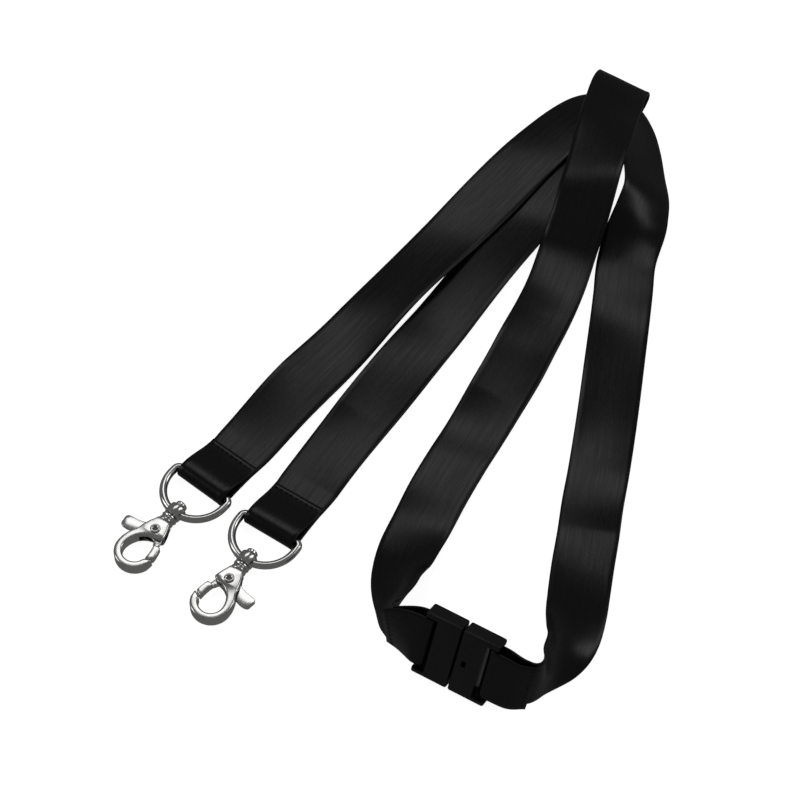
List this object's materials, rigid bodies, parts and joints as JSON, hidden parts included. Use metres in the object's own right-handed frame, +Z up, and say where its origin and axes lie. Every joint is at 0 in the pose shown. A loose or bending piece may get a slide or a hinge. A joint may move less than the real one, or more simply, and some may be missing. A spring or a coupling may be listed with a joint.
{
  "type": "lanyard",
  "caption": "Neck lanyard of flat woven ribbon with a swivel snap hook on each end and a breakaway buckle behind the neck, laid down in a folded loop",
  "frame": {"origin": "on the surface the lanyard lies on, under the middle of its bounding box", "axes": "+X to the right and +Y away from the viewer, along the length of the folded lanyard, +Z up"},
  "size_m": [0.1826, 0.2508, 0.0246],
  "materials": {
    "webbing": "satin black woven polyester ribbon",
    "thread": "black polyester sewing thread",
    "nickel": "polished nickel plate on die-cast zinc and steel wire",
    "spring_steel": "bright drawn spring wire",
    "buckle_plastic": "fine satin moulded acetal, black"
  },
  "bodies": {
    "root": {"strap_a": "webbing", "strap_b": "webbing", "stitch_hook_a": "thread", "stitch_hook_b": "thread", "stitch_neck_b": "thread", "buckle_plug": "buckle_plastic"},
    "socket_side": {"buckle_socket": "buckle_plastic", "strap_a_neck": "webbing", "stitch_neck_a": "thread"},
    "ring_a": {"d_ring_a": "nickel"},
    "hook_a": {"hook_body_a": "nickel", "pivot_rivet_a": "nickel", "lever_spring_a": "spring_steel"},
    "lever_a": {"gate_lever_a": "nickel"},
    "ring_b": {"d_ring_b": "nickel"},
    "hook_b": {"hook_body_b": "nickel", "pivot_rivet_b": "nickel", "lever_spring_b": "spring_steel"},
    "lever_b": {"gate_lever_b": "nickel"}
  },
  "joints": [
    {"name": "buckle_release", "type": "slide", "parent": "root", "child": "socket_side", "axis": [0.866, -0.5, 0], "range_m": [0, 0.012]},
    {"name": "ring_swing_a", "type": "hinge", "parent": "root", "child": "ring_a", "pos_m": [-0.06225, -0.04258, 0.00308], "axis": [-0.7771, 0.6293, 0], "range_deg": [-110, 115]},
    {"name": "hook_swivel_a", "type": "hinge", "parent": "ring_a", "child": "hook_a", "pos_m": [-0.07106, -0.05346, 0.00308], "axis": [-0.6293, -0.7771, 0], "continuous": true},
    {"name": "gate_open_a", "type": "hinge", "parent": "hook_a", "child": "lever_a", "pos_m": [-0.07698, -0.06077, 0.00308], "axis": [0, 0, -1], "range_deg": [0, 25], "stiffness_Nm_per_rad": 0.02, "springref_deg": -11.46},
    {"name": "ring_swing_b", "type": "hinge", "parent": "root", "child": "ring_b", "pos_m": [-0.03995, -0.05938, 0.00308], "axis": [-0.832, 0.5548, 0], "range_deg": [-110, 115]},
    {"name": "hook_swivel_b", "type": "hinge", "parent": "ring_b", "child": "hook_b", "pos_m": [-0.04772, -0.07103, 0.00308], "axis": [-0.5548, -0.832, 0], "continuous": true},
    {"name": "gate_open_b", "type": "hinge", "parent": "hook_b", "child": "lever_b", "pos_m": [-0.05293, -0.07885, 0.00308], "axis": [0, 0, 1], "range_deg": [0, 25], "stiffness_Nm_per_rad": 0.02, "springref_deg": -11.46}
  ]
}
